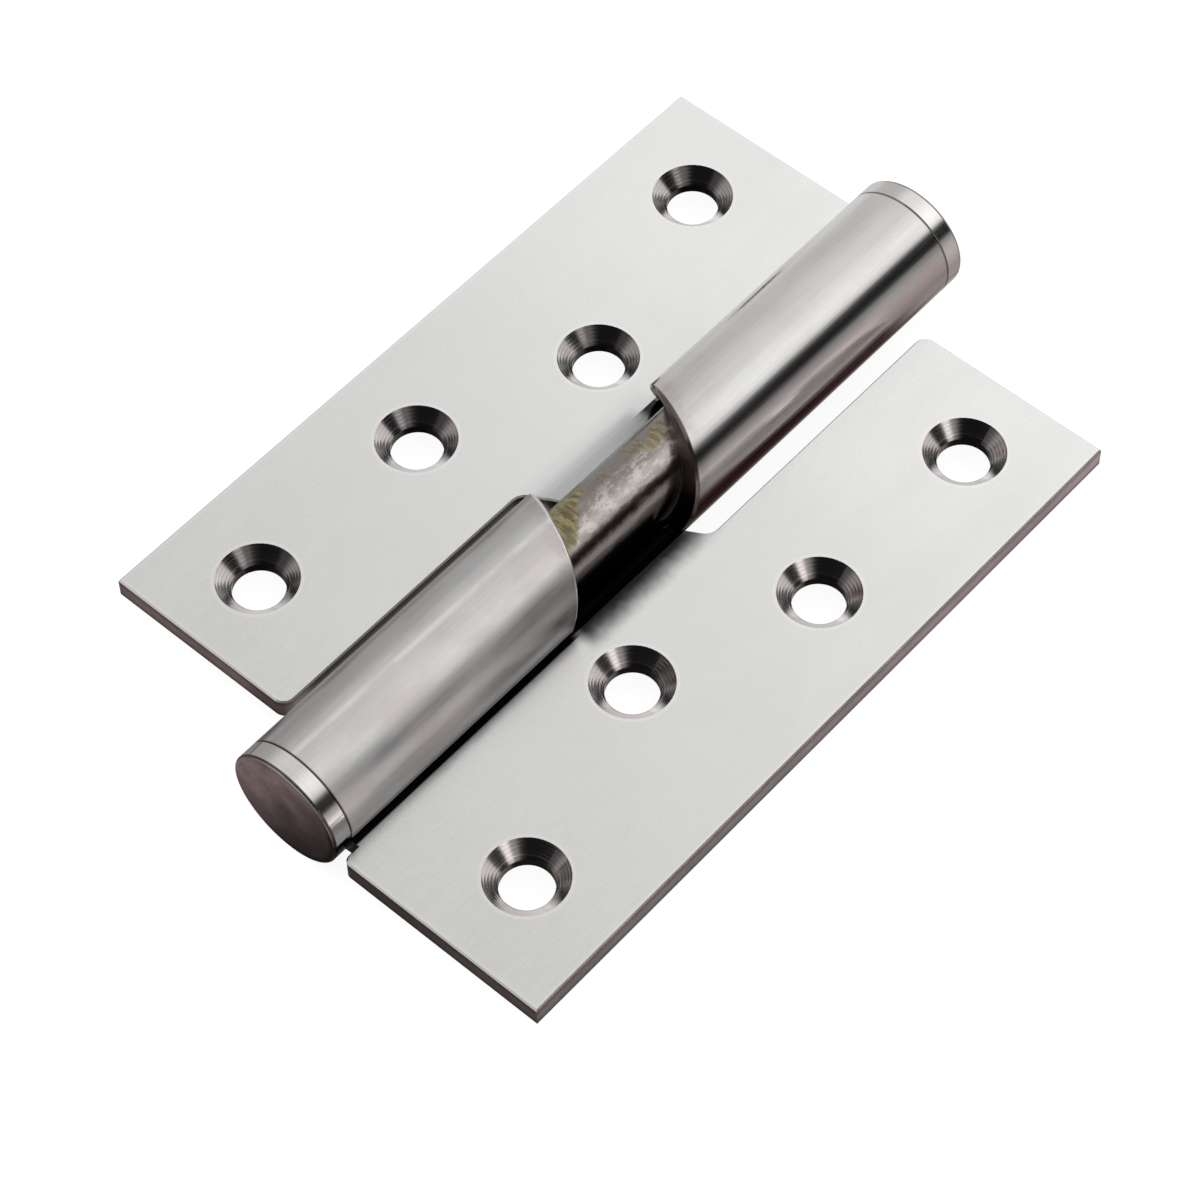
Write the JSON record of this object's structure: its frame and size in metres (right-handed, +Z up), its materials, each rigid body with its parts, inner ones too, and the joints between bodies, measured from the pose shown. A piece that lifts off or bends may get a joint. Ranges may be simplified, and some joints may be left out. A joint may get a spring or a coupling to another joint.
{
  "type": "rising butt hinge",
  "caption": "Rising butt hinge with countersunk steel leaves rolled round a pin; helical knuckle ends lift the door leaf as the door swings open.",
  "frame": {"origin": "on the floor under the middle of the hinge, which lies flat and fully open on its knuckles", "axes": "+X along the pin in the rising direction, +Y towards the door leaf, +Z up from the leaves' countersunk faces"},
  "size_m": [0.113, 0.076, 0.0158],
  "materials": {
    "leaf_steel": "satin brushed along the pin",
    "pin_steel": "turned, dull, with traces of grease",
    "cap_steel": "polished rim, fine turned face"
  },
  "bodies": {
    "frame": {"frame_leaf": "leaf_steel", "hinge_pin": "pin_steel", "lower_cap": "cap_steel"},
    "riser": {"upper_cap": "cap_steel"},
    "door": {"door_leaf": "leaf_steel"}
  },
  "joints": [
    {"name": "rise", "type": "slide", "parent": "frame", "child": "riser", "axis": [1, 0, 0], "range_m": [-0.01051, 0]},
    {"name": "swing", "type": "hinge", "parent": "riser", "child": "door", "pos_m": [0, 0, 0.0079], "axis": [1, 0, 0], "range_deg": [0, 180]}
  ],
  "couplings": [
    {"joint": "rise", "follows": "swing", "m_per_rad": -0.0033423}
  ]
}
